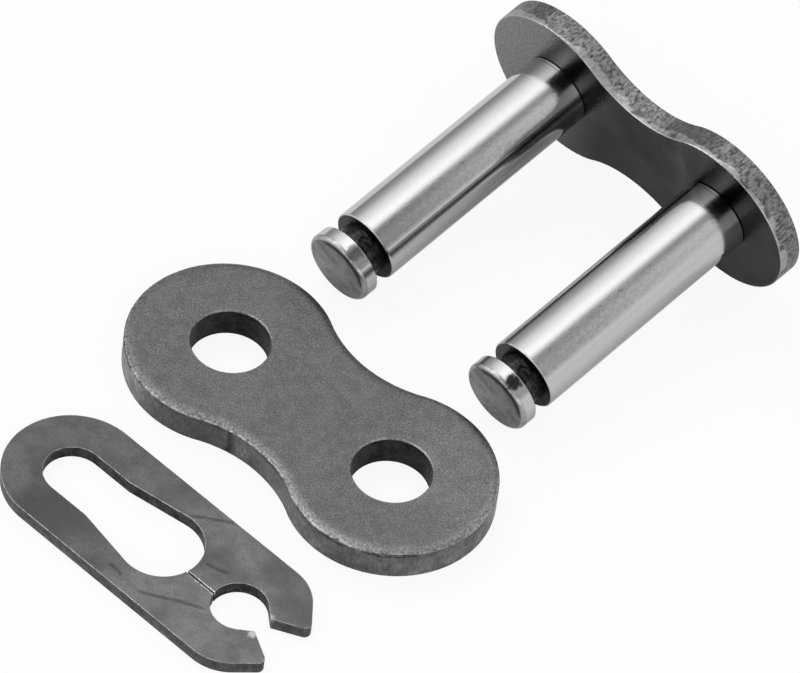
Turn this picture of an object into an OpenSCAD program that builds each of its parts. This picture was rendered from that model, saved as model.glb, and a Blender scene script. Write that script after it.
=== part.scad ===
// Roller chain connecting link with a spring clip, laid out as three loose pieces on a table.
// Millimetres. X runs along the pitch, Y from the clip to the pin link, Z up from the table top.

/* [Chain] */
// Distance between the two pin axes
pitch = 12.7; // [12.2:0.05:13.2]

/* [Pin link plate] */
// Height of the plate across one round head
pin_plate_height = 10.35; // [9.8:0.05:10.8]
// Height of the plate at its waist
pin_plate_waist = 6.45; // [6:0.05:7.2]
// Thickness of the plate
pin_plate_thickness = 1.7; // [1.4:0.05:2.1]

/* [Plate edges] */
// Rounding of the inner face edges of both plates
plate_edge = 0.08; // [0.05:0.01:0.15]
// Width of the rolled rim that blanking leaves on the outer faces
roll_width = 0.7; // [0.5:0.05:0.8]
// Depth of the rolled rim
roll_depth = 0.2; // [0.12:0.01:0.25]
// Bevel on the rims of the cover plate holes
hole_bevel = 0.08; // [0.04:0.01:0.12]

/* [Pins] */
// Diameter of the ground bearing length
pin_diameter = 4.5; // [4.2:0.05:4.7]
// Length of a pin beyond the inner face of its plate
pin_reach = 17.85; // [17:0.05:18.4]
// Length of the head between the clip groove and the free end
head_length = 1.1; // [0.95:0.05:1.2]
// Width of the clip groove
groove_width = 1.15; // [0.95:0.05:1.2]
// Diameter at the bottom of the clip groove
groove_diameter = 3.2; // [3:0.05:3.5]
// Bevel on the two edges of the clip groove
groove_bevel = 0.08; // [0.04:0.01:0.1]
// Rounding of the rim on the free end of a pin
pin_rim = 0.3; // [0.2:0.01:0.45]
// Step from the bearing length down to the stem in the plate
pin_shoulder = 0.3; // [0.25:0.01:0.35]
// Bevel on the edge of that step
shoulder_bevel = 0.06; // [0.03:0.01:0.08]
// Bevel on the riveted end of a pin
rivet_bevel = 0.2; // [0.1:0.02:0.3]
// How far the riveted end stands out of the plate
rivet_stand = 0.3; // [0.2:0.05:0.5]

/* [Cover plate] */
// Height of the plate across one round head
cover_height = 12.1; // [11.6:0.05:12.3]
// Height of the plate at its waist
cover_waist = 9; // [8.6:0.05:9.4]
// Thickness of the plate
cover_thickness = 2; // [1.6:0.05:2.2]
// Diameter of the two pin holes
cover_hole = 4.6; // [4.55:0.01:4.8]

/* [Spring clip] */
// Width across the two arms
clip_width = 8.2; // [8:0.05:8.4]
// Thickness of the sheet
clip_thickness = 0.8; // [0.65:0.05:0.9]
// How much longer than the pitch the free clip is from its closed end seat to its grip hole
clip_slack = 0.3; // [0.2:0.02:0.4]
// Width of the window at the closed end seat
seat_width = 3.5; // [3.4:0.02:3.7]
// Straight length of the narrow part of the window
seat_length = 2.7; // [2.3:0.05:3]
// Diameter of the wide part of the window
window_diameter = 4.9; // [4.85:0.01:5]
// Length of the bridge of the two arms between the window and the grip hole
bridge_length = 2; // [1.9:0.05:2.1]
// Diameter of the grip hole between the jaws
grip_diameter = 3.3; // [3.25:0.01:3.4]
// Width of the throat between the jaws
throat_width = 1.3; // [1.1:0.05:1.4]
// Length of the throat beyond the grip hole
throat_lead = 0.15; // [0.1:0.01:0.25]
// Slope of the lead-in faces of the jaws in degrees
mouth_slope = 28; // [24:1:32]
// Slope of the outer corners of the jaws in degrees
jaw_slope = 48; // [46:1:50]
// Radius of the outer corners of the jaws
jaw_radius = 2.9; // [2.8:0.05:3]
// Distance from the grip hole to the start of the outer corners
jaw_start = 0.45; // [0.35:0.05:0.55]
// Rounding of the tips of the jaws
jaw_tip_radius = 0.4; // [0.3:0.01:0.45]
// Rounding of the inner corners of the throat
throat_radius = 0.12; // [0.06:0.01:0.16]
// Width of the slit between the two arms
slit_width = 0.12; // [0.08:0.01:0.2]
// Sideways offset of the slit from the middle line
slit_offset = 0.4; // [0.3:0.02:0.5]

/* [Layout] */
// Clear distance along Y from the cover plate to the free ends of the pins
pin_link_clear = 2.1; // [1.9:0.05:2.7]
// Distance along X from the cover plate to the pin link
pin_link_aside = 0.6; // [0.4:0.05:0.8]
// Turn of the pin link on the table in degrees
pin_link_turn = -1.1; // [-1.5:0.1:-0.5]
// Clear distance along Y from the cover plate to the clip
clip_clear = 2.44; // [2.2:0.02:2.7]
// Distance along X from the middle of the clip span to the cover plate
clip_aside = 0.44; // [0.2:0.02:0.6]
// Turn of the clip on the table in degrees
clip_turn = 0.1; // [0:0.1:0.5]

/* [Hidden] */
$fn = 96;
half = 0.5;
half_pitch = pitch * half;
pin_radius = pin_diameter * half;
stem_radius = pin_radius - pin_shoulder;
pin_plate_radius = pin_plate_height * half;
cover_radius = cover_height * half;
clip_radius = clip_width * half;
seat_radius = seat_width * half;
window_radius = window_diameter * half;
grip_radius = grip_diameter * half;
groove_start = pin_reach - head_length - groove_width;
clip_span = pitch + clip_slack;
window_reach = clip_span - grip_radius - bridge_length - window_radius;
throat_reach = grip_radius + throat_lead;

// Past-the-face allowance of every cutting tool
past = pitch * 0.04;

// How deep a straight edge is sunk into the arc that it runs into, so that the two meet cleanly
lap = pitch * 0.0002;

// How deep the waist arcs of the plates are cut past the point where they touch the heads
seam_lap = pitch * 0.0008;

// Radius of the arc of the rolled rims
roll_radius = (roll_width * roll_width + roll_depth * roll_depth) / (2 * roll_depth);

// The pin link rests on the rounded lower edges of its inner face and on the rims of its pins
rest_drop = pin_plate_radius - plate_edge - pin_radius + pin_rim;
rest_run = pin_reach - pin_rim + plate_edge;
rest_tilt = atan2(rest_drop, rest_run)
  + asin((plate_edge - pin_rim) / sqrt(rest_drop * rest_drop + rest_run * rest_run));
rest_height = (pin_reach - pin_rim) * sin(rest_tilt) + (pin_radius - pin_rim) * cos(rest_tilt) + pin_rim;

// Distances of the pin link and the clip from the cover plate
pin_link_away = cover_radius + pin_link_clear + pin_reach * cos(rest_tilt);
clip_away = cover_radius + clip_clear + clip_radius;

// Middle of the whole layout, so that the set stands centred on the origin
layout_back = pin_link_away + pin_plate_thickness * cos(rest_tilt) + pin_plate_radius * sin(rest_tilt);
layout_front = -clip_away - clip_radius;
layout_left = -(half_pitch + cover_radius);
layout_right = half_pitch + cover_radius;
shift_x = -(layout_left + layout_right) * half;
shift_y = -(layout_back + layout_front) * half;

// Radius of the hollow waist arc that is tangent to both heads
function waist_radius(radius, waist) =
  (half_pitch * half_pitch + waist * waist - radius * radius) / (2 * (radius - waist));

// Waste above a rolled rim, which starts at the given place and falls towards the given side
module roll_waste(start, side, thickness) {
  difference() {
    translate([start - (side < 0 ? roll_width + past : 0), thickness - 2 * roll_depth])
      square([roll_width + past, 2 * roll_depth + past]);
    translate([start, thickness - roll_radius]) circle(r = roll_radius);
  }
}

// Section of a round head from its axis outward, inner face down, rolled rim up
module head_section(radius, thickness) {
  difference() {
    union() {
      polygon([[0, 0], [radius - plate_edge, 0], [radius - plate_edge, plate_edge],
               [radius, plate_edge], [radius, thickness], [0, thickness]]);
      translate([radius - plate_edge, plate_edge]) circle(r = plate_edge);
    }
    roll_waste(radius - roll_width, 1, thickness);
  }
}

// Section of the tool that cuts a hollow waist arc, flared to round and roll the plate edges
module waist_section(radius, thickness) {
  difference() {
    union() {
      translate([0, -past]) square([radius, thickness + 2 * past]);
      translate([0, -past]) square([radius + plate_edge, past + plate_edge]);
    }
    translate([radius + plate_edge, plate_edge]) circle(r = plate_edge);
  }
  roll_waste(radius + roll_width, -1, thickness);
}

// Plate with two round heads and a hollow waist, lying on its inner face
module link_plate(radius, waist, thickness) {
  arc = waist_radius(radius, waist);
  for (side = [-1, 1]) {
    translate([side * half_pitch, 0, 0]) rotate_extrude() head_section(radius, thickness);
  }
  difference() {
    linear_extrude(height = thickness)
      polygon([[-half_pitch, 0], [0, -(waist + arc)], [half_pitch, 0], [0, waist + arc]]);
    for (side = [-1, 1]) {
      translate([0, side * (waist + arc), 0]) rotate_extrude() waist_section(arc + seam_lap, thickness);
    }
  }
}

// Pin standing on its riveted end, with the inner face of the plate at height zero
module pin() {
  stem = pin_plate_thickness + rivet_stand;
  groove_end = groove_start + groove_width;
  core = groove_diameter * half;
  rotate_extrude() {
    polygon([[0, -stem], [stem_radius - rivet_bevel, -stem], [stem_radius, -stem + rivet_bevel],
             [stem_radius, 0], [pin_radius - shoulder_bevel, 0], [pin_radius, shoulder_bevel],
             [pin_radius, groove_start - groove_bevel], [pin_radius - groove_bevel, groove_start],
             [core, groove_start], [core, groove_end], [pin_radius - groove_bevel, groove_end],
             [pin_radius, groove_end + groove_bevel], [pin_radius, pin_reach - pin_rim],
             [pin_radius - pin_rim, pin_reach - pin_rim], [pin_radius - pin_rim, pin_reach],
             [0, pin_reach]]);
    translate([pin_radius - pin_rim, pin_reach - pin_rim]) circle(r = pin_rim);
  }
}

// Puts a piece of the pin link, built with its pins upward, into its resting place
module lay_pin_link() {
  translate([shift_x + pin_link_aside, shift_y + pin_link_away, rest_height])
    rotate([0, 0, pin_link_turn]) rotate([90 + rest_tilt, 0, 0]) children();
}

module pin_link_plate() {
  color([0.36, 0.36, 0.37]) lay_pin_link() difference() {
    mirror([0, 0, 1]) link_plate(pin_plate_radius, pin_plate_waist * half, pin_plate_thickness);
    for (side = [-1, 1]) {
      translate([side * half_pitch, 0, -pin_plate_thickness - past])
        cylinder(r = stem_radius, h = pin_plate_thickness + 2 * past);
    }
  }
}

module left_pin() {
  color([0.62, 0.62, 0.63]) lay_pin_link() translate([-half_pitch, 0, 0]) pin();
}

module right_pin() {
  color([0.62, 0.62, 0.63]) lay_pin_link() translate([half_pitch, 0, 0]) pin();
}

// Pin hole of the cover plate with a bevel at both rims
module cover_hole_tool() {
  flare = hole_bevel + past;
  translate([0, 0, -past]) cylinder(r = cover_hole * half, h = cover_thickness + 2 * past);
  translate([0, 0, -past])
    cylinder(r1 = cover_hole * half + flare, r2 = cover_hole * half, h = flare);
  translate([0, 0, cover_thickness - hole_bevel])
    cylinder(r1 = cover_hole * half, r2 = cover_hole * half + flare, h = flare);
}

module cover_plate() {
  color([0.42, 0.42, 0.43]) translate([shift_x, shift_y, 0]) difference() {
    link_plate(cover_radius, cover_waist * half, cover_thickness);
    for (side = [-1, 1]) translate([side * half_pitch, 0, 0]) cover_hole_tool();
  }
}

// Corners of the jaws, measured from the closed end seat
half_throat = throat_width * half;
turn_x = clip_span + jaw_start;
turn_y = clip_radius - lap - jaw_radius;
slope_x = turn_x + jaw_radius * sin(jaw_slope);
slope_y = turn_y + jaw_radius * cos(jaw_slope);
throat_x = clip_span + throat_reach;
tip_x = (slope_y + slope_x * tan(jaw_slope) - half_throat + throat_x * tan(mouth_slope))
  / (tan(jaw_slope) + tan(mouth_slope));
tip_y = half_throat + (tip_x - throat_x) * tan(mouth_slope);
grip_bite = grip_radius - lap;
grip_swing = atan2(half_throat, throat_reach)
  + acos(grip_bite / sqrt(throat_reach * throat_reach + half_throat * half_throat));

// Sheet of the thickness of the clip in the outline of its child
module sheet() {
  linear_extrude(height = clip_thickness) children();
}

// Tool through the sheet in the outline of its child
module through() {
  translate([0, 0, -past]) linear_extrude(height = clip_thickness + 2 * past) children();
}

// Outer shape of the clip, with the closed end seat at the origin
module clip_blank() {
  front_x = tip_x + past * half;
  front_y = slope_y - (front_x - slope_x) * tan(jaw_slope);
  flat_y = clip_radius - lap;
  sheet() circle(r = clip_radius);
  sheet() polygon([[0, flat_y], [turn_x, flat_y], [slope_x, slope_y], [front_x, front_y],
                   [front_x, -front_y], [slope_x, -slope_y], [turn_x, -flat_y], [0, -flat_y]]);
  for (side = [-1, 1]) sheet() translate([turn_x, side * turn_y]) circle(r = jaw_radius + lap);
}

// Pear shaped window: a seat for one groove that widens to let a pin end pass
module clip_window() {
  flare_x = window_reach - seat_length;
  flat_y = seat_radius - lap;
  flare = asin((window_radius - lap) / sqrt(flare_x * flare_x + flat_y * flat_y))
    - atan2(flat_y, flare_x);
  touch_x = window_reach - (window_radius - lap) * sin(flare);
  touch_y = (window_radius - lap) * cos(flare);
  through() circle(r = seat_radius);
  through() translate([window_reach, 0]) circle(r = window_radius);
  through() polygon([[0, flat_y], [seat_length, flat_y], [touch_x, touch_y],
                     [touch_x, -touch_y], [seat_length, -flat_y], [0, -flat_y]]);
}

// Grip hole, its throat and the lead-in between the jaws
module clip_mouth() {
  lead_x = tip_x + past;
  lead_y = half_throat + (lead_x - throat_x) * tan(mouth_slope);
  touch_x = clip_span + grip_bite * cos(grip_swing);
  touch_y = grip_bite * sin(grip_swing);
  through() translate([clip_span, 0]) circle(r = grip_radius);
  through() polygon([[clip_span, 0], [touch_x, touch_y], [throat_x, half_throat], [lead_x, lead_y],
                     [lead_x, -lead_y], [throat_x, -half_throat], [touch_x, -touch_y]]);
}

// Waste outside the rounding of a corner, whose two sides leave it at the angles low and high
module corner_waste(corner, radius, low, high) {
  spread = (high - low) * half;
  middle = (high + low) * half;
  run = radius / tan(spread);
  deep = radius / sin(spread);
  through() difference() {
    polygon([corner + run * [cos(low), sin(low)], corner + run * [cos(high), sin(high)],
             corner - run * [cos(middle), sin(middle)]]);
    translate(corner + deep * [cos(middle), sin(middle)]) circle(r = radius + lap);
  }
}

module spring_clip() {
  color([0.3, 0.3, 0.31])
    translate([shift_x + clip_aside, shift_y - clip_away, 0]) rotate([0, 0, clip_turn])
      translate([-clip_span * half, 0, 0]) difference() {
        clip_blank();
        clip_window();
        clip_mouth();
        for (side = [0, 1]) mirror([0, side, 0]) {
          corner_waste([tip_x, tip_y], jaw_tip_radius, 180 - jaw_slope, 180 + mouth_slope);
          corner_waste([throat_x, half_throat], throat_radius, mouth_slope, 90 + grip_swing);
        }
        through() translate([window_reach, -slit_offset - slit_width * half])
          square([clip_span - window_reach, slit_width]);
      }
}

pin_link_plate();
left_pin();
right_pin();
cover_plate();
spring_clip();
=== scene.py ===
"""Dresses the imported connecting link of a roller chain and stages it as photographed.

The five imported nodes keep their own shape. Each gets a steel finish of its own, built from shared
effect groups, and the studio around them gives the white table, the soft light and the camera.
Lengths are in millimetres on the pieces and in metres in the studio.
"""
import logging
import math
from dataclasses import dataclass, field
from enum import Enum

import bpy
from mathutils import Matrix, Vector

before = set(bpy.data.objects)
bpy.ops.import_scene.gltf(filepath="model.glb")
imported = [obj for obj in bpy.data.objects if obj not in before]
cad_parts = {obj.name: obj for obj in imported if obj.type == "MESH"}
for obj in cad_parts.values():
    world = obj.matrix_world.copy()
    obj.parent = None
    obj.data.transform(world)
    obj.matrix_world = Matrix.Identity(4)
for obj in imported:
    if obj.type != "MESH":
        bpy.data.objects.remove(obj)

LOG = logging.getLogger("connecting_link")
MM = 0.001
IMAGE_WIDTH = 800
IMAGE_HEIGHT = 673
NODE_COLUMNS = 12
NODE_STEP = (220, -260)
WALL_FACING = (0.45, 0.7)
BLACK = (0.0, 0.0, 0.0)

Node = bpy.types.Node
Socket = bpy.types.NodeSocket
Pair = tuple[float, float]
Triple = tuple[float, float, float]
Value = float | Socket
Colour = Triple | Socket


class Slot(Enum):
    """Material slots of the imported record."""

    PIN_PLATE = "pin_plate_steel"
    PIN = "pin_steel"
    COVER_PLATE = "cover_plate_steel"
    CLIP = "clip_steel"


class Effect(Enum):
    """Shared shader effects, each a node group of that name."""

    GRAIN = "blasted_grain"
    PAINTED_EDGE_HIGHLIGHT = "painted_edge_highlight"
    CLOUDS = "oil_clouds"
    STREAKS = "directional_streaks"
    HAIRLINE = "hairline"
    BAND = "soft_band"
    SPECKS = "bright_specks"
    OUTLINE = "plate_outline"


@dataclass(frozen=True)
class LinkSizes:
    """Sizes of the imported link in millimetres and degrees, as its source states them."""

    pitch: float = 12.7
    pin_plate_height: float = 10.35
    pin_plate_waist: float = 6.45
    pin_plate_thickness: float = 1.7
    plate_edge: float = 0.08
    roll_width: float = 0.7
    roll_depth: float = 0.2
    pin_diameter: float = 4.5
    pin_reach: float = 17.85
    pin_rim: float = 0.3
    groove_start: float = 15.6
    groove_width: float = 1.15
    groove_diameter: float = 3.2
    cover_height: float = 12.1
    cover_waist: float = 9.0
    cover_thickness: float = 2.0
    cover_hole: float = 4.6
    clip_width: float = 8.2
    clip_thickness: float = 0.8
    clip_span: float = 13.0
    pin_link_clear: float = 2.1
    pin_link_aside: float = 0.6
    pin_link_turn: float = -1.1
    clip_clear: float = 2.44
    clip_aside: float = 0.44
    clip_turn: float = 0.1

    @property
    def tilt(self) -> float:
        """Tilt of the resting pin link from upright, in radians."""
        drop = self.pin_plate_height / 2 - self.plate_edge - self.pin_diameter / 2 + self.pin_rim
        run = self.pin_reach - self.pin_rim + self.plate_edge
        return math.atan2(drop, run) + math.asin((self.plate_edge - self.pin_rim) / math.hypot(drop, run))

    @property
    def rest_height(self) -> float:
        """Height of the middle of the inner face of the pin link above the table."""
        radius = self.pin_diameter / 2 - self.pin_rim
        lift = (self.pin_reach - self.pin_rim) * math.sin(self.tilt)
        return lift + radius * math.cos(self.tilt) + self.pin_rim

    @property
    def pin_link_away(self) -> float:
        """Distance along Y from the cover plate to the inner face of the pin link."""
        return self.cover_height / 2 + self.pin_link_clear + self.pin_reach * math.cos(self.tilt)

    @property
    def clip_away(self) -> float:
        """Distance along Y from the cover plate to the clip."""
        return self.cover_height / 2 + self.clip_clear + self.clip_width / 2

    @property
    def shift_y(self) -> float:
        """Place of the cover plate along Y, with the whole set centred on the origin."""
        back = self.pin_link_away + self.pin_plate_thickness * math.cos(self.tilt)
        back += self.pin_plate_height / 2 * math.sin(self.tilt)
        return -(back - self.clip_away - self.clip_width / 2) / 2

    def cover_frame(self) -> Matrix:
        """Frame of the cover plate: X along the pitch, Z up, origin in the middle of its lower face."""
        return Matrix.Translation(Vector((0, self.shift_y, 0)) * MM)

    def clip_frame(self) -> Matrix:
        """Frame of the clip: X along it, Z up, origin in the middle of its span."""
        place = Vector((self.clip_aside, self.shift_y - self.clip_away, 0)) * MM
        return Matrix.Translation(place) @ Matrix.Rotation(math.radians(self.clip_turn), 4, "Z")

    def pin_link_frame(self) -> Matrix:
        """Frame of the pin link: X along the pitch, Z along the pins, origin on the inner face."""
        place = Vector((self.pin_link_aside, self.shift_y + self.pin_link_away, self.rest_height)) * MM
        turn = Matrix.Rotation(math.radians(self.pin_link_turn), 4, "Z")
        lean = Matrix.Rotation(math.radians(90) + self.tilt, 4, "X")
        return Matrix.Translation(place) @ turn @ lean


SIZES = LinkSizes()


class Graph:
    """Short ways to add and join nodes in one shader tree."""

    def __init__(self, tree: bpy.types.NodeTree) -> None:
        """Keeps the tree that the nodes go into.

        Args:
            tree: A material's, a world's or a group's node tree.
        """
        self.tree = tree
        self.count = 0

    def add(self, kind: str, settings: dict | None = None, **inputs: object) -> Node:
        """Adds a node, sets its options and joins or fills its inputs.

        Args:
            kind: Type name of the node without its ShaderNode prefix, or with a full type name.
            settings: Attributes to set on the node.
            inputs: Values or sockets by input name, with underscores for spaces.

        Returns:
            The new node.
        """
        node = self.tree.nodes.new(kind if kind.startswith("Node") else "ShaderNode" + kind)
        row, column = divmod(self.count, NODE_COLUMNS)
        node.location = (NODE_STEP[0] * column, NODE_STEP[1] * row)
        self.count += 1
        for name, value in (settings or {}).items():
            setattr(node, name, value)
        for name, value in inputs.items():
            self.put(node.inputs[name.replace("_", " ")], value)
        return node

    def put(self, socket: Socket, value: object) -> None:
        """Joins a socket to an input, or writes a constant on it.

        Args:
            socket: The input.
            value: An output socket, a number or a list of numbers.
        """
        if isinstance(value, Socket):
            self.tree.links.new(value, socket)
        else:
            socket.default_value = value

    def math(self, operation: str, first: Value, second: Value = 0.0, clamp: bool = False) -> Socket:
        """Adds a Math node.

        Args:
            operation: Name of the operation, such as MULTIPLY.
            first: First value or socket.
            second: Second value or socket.
            clamp: True to keep the result between 0 and 1.

        Returns:
            The value that it puts out.
        """
        node = self.add("Math", {"operation": operation, "use_clamp": clamp})
        self.put(node.inputs[0], first)
        self.put(node.inputs[1], second)
        return node.outputs[0]

    def vector(self, operation: str, first: Colour, second: Colour = BLACK, gives: str = "Vector") -> Socket:
        """Adds a Vector Math node.

        Args:
            operation: Name of the operation, such as SUBTRACT.
            first: First vector or socket.
            second: Second vector or socket.
            gives: Output to use, Vector or Value.

        Returns:
            That output.
        """
        node = self.add("VectorMath", {"operation": operation})
        self.put(node.inputs[0], first)
        self.put(node.inputs[1], second)
        return node.outputs[gives]

    def blend(self, share: Value, first: Colour, second: Colour, way: str = "MIX") -> Socket:
        """Mixes two colours.

        Args:
            share: Share of the second colour, from 0 to 1.
            first: First colour or socket.
            second: Second colour or socket.
            way: Blend type.

        Returns:
            The mixed colour.
        """
        node = self.add("Mix", {"data_type": "RGBA", "blend_type": way, "clamp_factor": True})
        self.put(node.inputs["Factor"], share)
        for index, value in ((6, first), (7, second)):
            if not isinstance(value, Socket):
                value = (*value, 1.0)
            self.put(node.inputs[index], value)
        return node.outputs[2]

    def choose(self, share: Value, first: Value, second: Value) -> Socket:
        """Mixes two values.

        Args:
            share: Share of the second value, from 0 to 1.
            first: First value or socket.
            second: Second value or socket.

        Returns:
            The mixed value.
        """
        node = self.add("Mix", {"data_type": "FLOAT", "clamp_factor": True})
        for index, value in ((0, share), (2, first), (3, second)):
            self.put(node.inputs[index], value)
        return node.outputs[0]

    def between(
        self, value: Value, low: Value, high: Value, start: float = 0.0, end: float = 1.0, smooth: bool = True
    ) -> Socket:
        """Maps a value from one range to another and stops at its ends.

        Args:
            value: The value or socket.
            low: Value that gives start.
            high: Value that gives end.
            start: Result at low.
            end: Result at high.
            smooth: True to ease in and out.

        Returns:
            The mapped value.
        """
        way = "SMOOTHSTEP" if smooth else "LINEAR"
        node = self.add("MapRange", {"interpolation_type": way, "clamp": True}, Value=value)
        for name, item in (("From Min", low), ("From Max", high), ("To Min", start), ("To Max", end)):
            self.put(node.inputs[name], item)
        return node.outputs["Result"]

    def noise(
        self, vector: Socket, scale: Value, detail: float, rough: float = 0.5, bend: float = 0.0
    ) -> Socket:
        """Adds a noise texture.

        Args:
            vector: Coordinates to read.
            scale: Cells per unit.
            detail: Number of finer layers.
            rough: Strength of the finer layers.
            bend: Distortion.

        Returns:
            The noise value, about 0.5 on average.
        """
        inputs = {"Scale": scale, "Detail": detail, "Roughness": rough, "Distortion": bend}
        return self.add("TexNoise", {"noise_dimensions": "3D"}, Vector=vector, **inputs).outputs["Fac"]

    def local(self, placing: Matrix) -> Socket:
        """Gives the place on the piece in millimetres in the piece's own frame.

        Args:
            placing: The frame of the piece in metres.

        Returns:
            A vector socket.
        """
        place, turn, _ = placing.decompose()
        inputs = {"Location": place, "Rotation": turn.to_euler("XYZ"), "Scale": (MM, MM, MM)}
        source = self.add("TexCoord").outputs["Object"]
        return self.add("Mapping", {"vector_type": "TEXTURE"}, Vector=source, **inputs).outputs["Vector"]

    def parts(self, vector: Socket) -> tuple[Socket, Socket, Socket]:
        """Gives the three parts of a vector."""
        found = self.add("SeparateXYZ", None, Vector=vector).outputs
        return found["X"], found["Y"], found["Z"]

    def dot(self, first: Colour, second: Colour) -> Socket:
        """Gives the dot product of two vectors."""
        return self.vector("DOT_PRODUCT", first, second, "Value")

    def stretch(self, vector: Socket, scales: Colour) -> Socket:
        """Multiplies a vector by one number for each axis."""
        return self.vector("MULTIPLY", vector, scales)

    def length(self, first: Value, second: Value) -> Socket:
        """Gives the length of the vector with these two parts."""
        flat = self.add("CombineXYZ", None, X=first, Y=second).outputs[0]
        return self.vector("LENGTH", flat, gives="Value")

    def times(self, first: Value, *others: Value) -> Value:
        """Multiplies values, or gives a single one as it is."""
        for other in others:
            first = self.math("MULTIPLY", first, other)
        return first

    def larger(self, first: Value, second: Value) -> Socket:
        """Gives the larger of two values."""
        return self.math("MAXIMUM", first, second)

    def raised(self, value: Value, share: float, start: float) -> Socket:
        """Gives the value times a share, plus a start."""
        return self.math("ADD", self.times(value, share), start)

    def flipped(self, value: Value) -> Socket:
        """Gives one minus the value."""
        return self.math("SUBTRACT", 1.0, value)

    def inverse(self, value: Value) -> Socket:
        """Gives one divided by the value."""
        return self.math("DIVIDE", 1.0, value)

    def facing(self, axis: Vector) -> Socket:
        """Gives how much the surface faces along an axis of the row frame, from -1 to 1."""
        return self.dot(self.add("NewGeometry").outputs["Normal"], tuple(axis))


class EffectShop:
    """Builds each shared effect group once and places it in materials."""

    def __init__(self) -> None:
        """Starts with no group built."""
        self.built: dict[Effect, bpy.types.NodeTree] = {}

    def start(
        self, effect: Effect, takes: dict[str, float | Triple], *gives: str
    ) -> tuple[Graph, bpy.types.NodeOutputs, bpy.types.NodeInputs]:
        """Opens a new group, whose first input is always Vector.

        Args:
            effect: The effect that the group is for.
            takes: Names of the other inputs, each with its usual number or its usual three numbers.
            gives: Names of the outputs, all of them values.

        Returns:
            The graph of the group, the sockets of its input node and the sockets of its output node.
        """
        tree = bpy.data.node_groups.new(effect.value, "ShaderNodeTree")
        tree.interface.new_socket(name="Vector", in_out="INPUT", socket_type="NodeSocketVector")
        for name, usual in takes.items():
            kind = "NodeSocketVector" if isinstance(usual, tuple) else "NodeSocketFloat"
            tree.interface.new_socket(name=name, in_out="INPUT", socket_type=kind).default_value = usual
        for name in gives:
            tree.interface.new_socket(name=name, in_out="OUTPUT", socket_type="NodeSocketFloat")
        self.built[effect] = tree
        graph = Graph(tree)
        return graph, graph.add("NodeGroupInput").outputs, graph.add("NodeGroupOutput").inputs

    def grain(self) -> None:
        """Fine even grain of a shot-blasted or etched face."""
        graph, given, result = self.start(Effect.GRAIN, {"Size": 0.12, "Low": 0.3, "High": 0.7}, "Value")
        fine = graph.noise(given["Vector"], graph.inverse(given["Size"]), 2.0, 0.6)
        graph.put(result["Value"], graph.between(fine, given["Low"], given["High"], smooth=False))

    def specks(self) -> None:
        """Sparse bright points, where a crest of the grain catches the light."""
        graph, given, result = self.start(Effect.SPECKS, {"Spacing": 0.5, "Radius": 0.2}, "Mask")
        rate = graph.inverse(given["Spacing"])
        cells = graph.add("TexVoronoi", {"feature": "F1"}, Vector=given["Vector"], Scale=rate)
        picked = graph.add("SeparateColor", None, Color=cells.outputs["Color"]).outputs[0]
        near = graph.math("DIVIDE", cells.outputs["Distance"], given["Radius"])
        core = graph.between(near, 0.4, 1.0, 1.0, 0.0)
        graph.put(result["Mask"], graph.times(core, graph.between(picked, 0.45, 0.9)))

    def outline(self) -> None:
        """Distances in a waisted plate: inward from its outline and outward from the nearer hole axis.

        A point beyond the line from the hole axis to the middle of the waist arc belongs to the head.
        """
        takes = {"Half Pitch": 6.0, "Head": 5.0, "Waist": 3.0, "Arc": 9.0}
        graph, given, result = self.start(Effect.OUTLINE, takes, "Inside", "From Axis")
        x, y, _ = graph.parts(given["Vector"])
        along = graph.math("ABSOLUTE", x)
        across = graph.math("ABSOLUTE", y)
        past = graph.math("SUBTRACT", along, given["Half Pitch"])
        from_axis = graph.length(past, across)
        centre = graph.math("ADD", given["Waist"], given["Arc"])
        from_arc = graph.length(along, graph.math("SUBTRACT", centre, across))
        in_head = graph.math("SUBTRACT", given["Head"], from_axis)
        in_waist = graph.math("SUBTRACT", from_arc, given["Arc"])
        head_side = graph.math("ADD", graph.times(given["Half Pitch"], across), graph.times(centre, past))
        chosen = graph.math("GREATER_THAN", head_side, 0.0)
        graph.put(result["Inside"], graph.choose(chosen, in_waist, in_head))
        graph.put(result["From Axis"], from_axis)

    def painted_edge_highlight(self) -> None:
        """Mask of outer edges for a painted highlight, with gaps where it breaks off."""
        takes = {"Radius": 0.0001, "Low": 0.01, "High": 0.12, "Breaks": 0.5}
        graph, given, result = self.start(Effect.PAINTED_EDGE_HIGHLIGHT, takes, "Mask")
        rounded = graph.add("Bevel", {"samples": 8}, Radius=given["Radius"]).outputs["Normal"]
        turn = graph.flipped(graph.dot(rounded, graph.add("NewGeometry").outputs["Normal"]))
        # painted highlight: the mask is full where the edge turns
        painted_light = graph.between(turn, given["Low"], given["High"], smooth=False)
        gaps = graph.between(graph.noise(given["Vector"], 3.1, 4.0, 0.6), 0.35, 0.6)
        kept = graph.flipped(graph.times(given["Breaks"], graph.flipped(gaps)))
        graph.put(result["Mask"], graph.math("MULTIPLY", painted_light, kept, True))

    def clouds(self) -> None:
        """Soft cloudy patches, as oil and heat leave them."""
        graph, given, result = self.start(Effect.CLOUDS, {"Size": 3.0, "Low": 0.4, "High": 0.62}, "Mask")
        broad = graph.noise(given["Vector"], graph.inverse(given["Size"]), 2.5, bend=0.25)
        graph.put(result["Mask"], graph.between(broad, given["Low"], given["High"]))

    def streaks(self) -> None:
        """Fine parallel marks that follow one direction, from grinding, turning or shearing."""
        takes = {"Across": (1.0, 1.0, 1.0), "Low": 0.35, "High": 0.65}
        graph, given, result = self.start(Effect.STREAKS, takes, "Mask")
        marks = graph.noise(graph.stretch(given["Vector"], given["Across"]), 1.0, 5.0, 0.65)
        graph.put(result["Mask"], graph.between(marks, given["Low"], given["High"]))

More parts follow.
